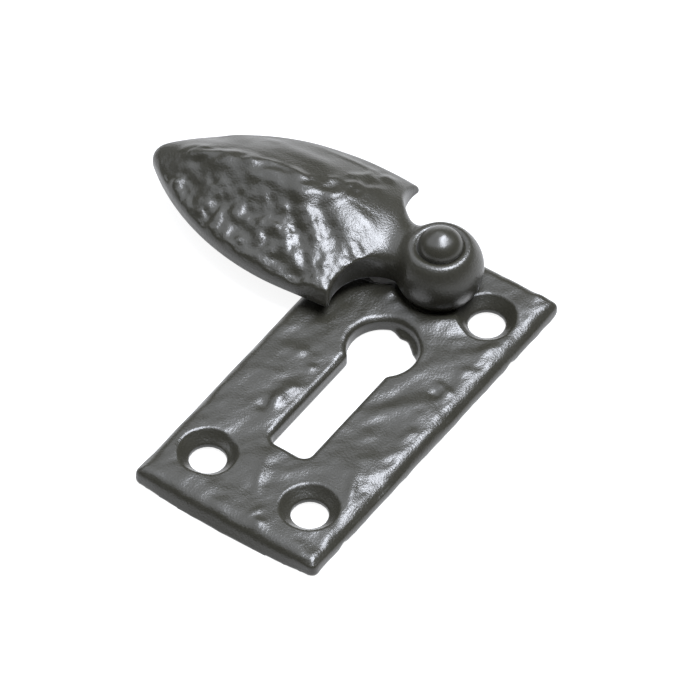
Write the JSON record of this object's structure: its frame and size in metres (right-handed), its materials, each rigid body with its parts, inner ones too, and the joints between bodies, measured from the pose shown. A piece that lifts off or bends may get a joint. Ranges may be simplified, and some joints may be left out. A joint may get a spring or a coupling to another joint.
{
  "type": "keyhole escutcheon",
  "caption": "Rectangular cast keyhole plate with countersunk screw holes and a ridged leaf-shaped cover that swings on a domed rivet to hide the keyhole.",
  "frame": {"origin": "middle of the four screw holes, on the plate's back face", "axes": "+Z out of the plate's front face, +Y along the plate towards the pivot end, +X across the plate"},
  "size_m": [0.0527, 0.0557, 0.0121],
  "materials": {
    "black_iron": "satin black paint on hammered cast iron",
    "black_rivet": "satin black paint on a smooth steel rivet"
  },
  "bodies": {
    "plate": {"back_plate": "black_iron", "pivot_rivet": "black_rivet"},
    "cover": {"swing_cover": "black_iron"}
  },
  "joints": [
    {"name": "cover_swing", "type": "hinge", "parent": "plate", "child": "cover", "pos_m": [0, 0.0191, 0.0024], "axis": [0, 0, 1], "continuous": true}
  ]
}
